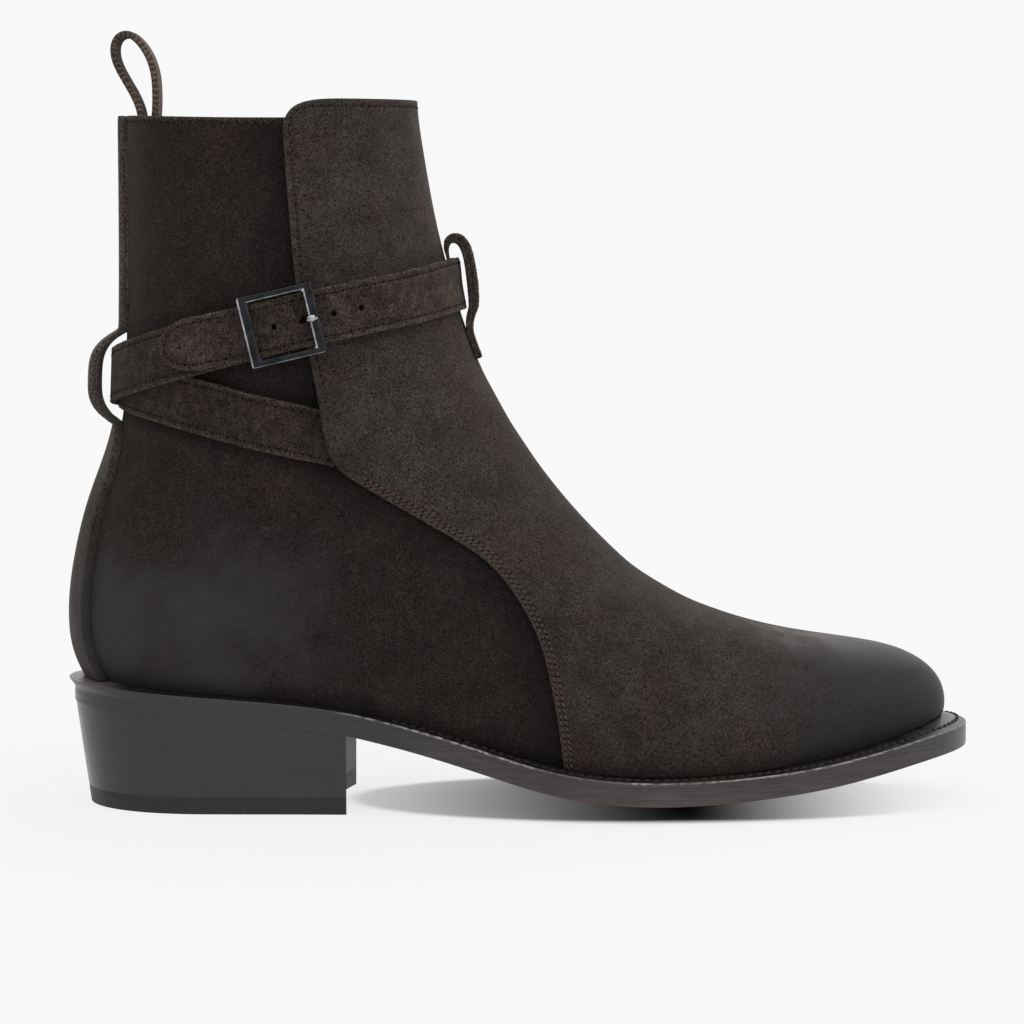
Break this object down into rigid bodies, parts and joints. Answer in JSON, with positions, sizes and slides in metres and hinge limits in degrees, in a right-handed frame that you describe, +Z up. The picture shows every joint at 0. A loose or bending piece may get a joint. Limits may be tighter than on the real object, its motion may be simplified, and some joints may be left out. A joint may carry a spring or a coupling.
{
  "type": "jodhpur boot",
  "caption": "Right ankle boot in dark waxed suede: overlapping front panel, straps wrapped round the ankle to a buckle, woven pull loop, welted leather sole and stacked heel.",
  "frame": {"origin": "on the floor under the middle of the boot's bounding box", "axes": "+X to the toe, +Y to the inner side of the foot, +Z up"},
  "size_m": [0.3041, 0.1084, 0.2571],
  "materials": {
    "waxed_suede": "dark brown waxed suede, burnished at toe and heel",
    "strap_suede": "dark brown suede strap with raw lighter edges",
    "lining_leather": "smooth tan-brown lining leather",
    "welt_leather": "dark waxed welt leather, stitched",
    "sole_leather": "dark stained and waxed sole edge",
    "heel_leather": "black stained stacked leather, polished",
    "heel_rubber": "black rubber, matt",
    "dark_nickel": "dark nickel plate, polished",
    "loop_webbing": "taupe woven webbing"
  },
  "bodies": {
    "root": {"upper": "waxed_suede", "front_panel": "waxed_suede", "back_strip": "waxed_suede", "keeper_front": "waxed_suede", "strap_long": "strap_suede", "strap_buckle": "strap_suede", "buckle_frame": "dark_nickel", "buckle_prong": "dark_nickel", "pull_loop": "loop_webbing", "insole": "lining_leather", "welt": "welt_leather", "outsole": "sole_leather", "heel_stack": "heel_leather", "heel_top_piece": "heel_rubber"}
  },
  "joints": []
}
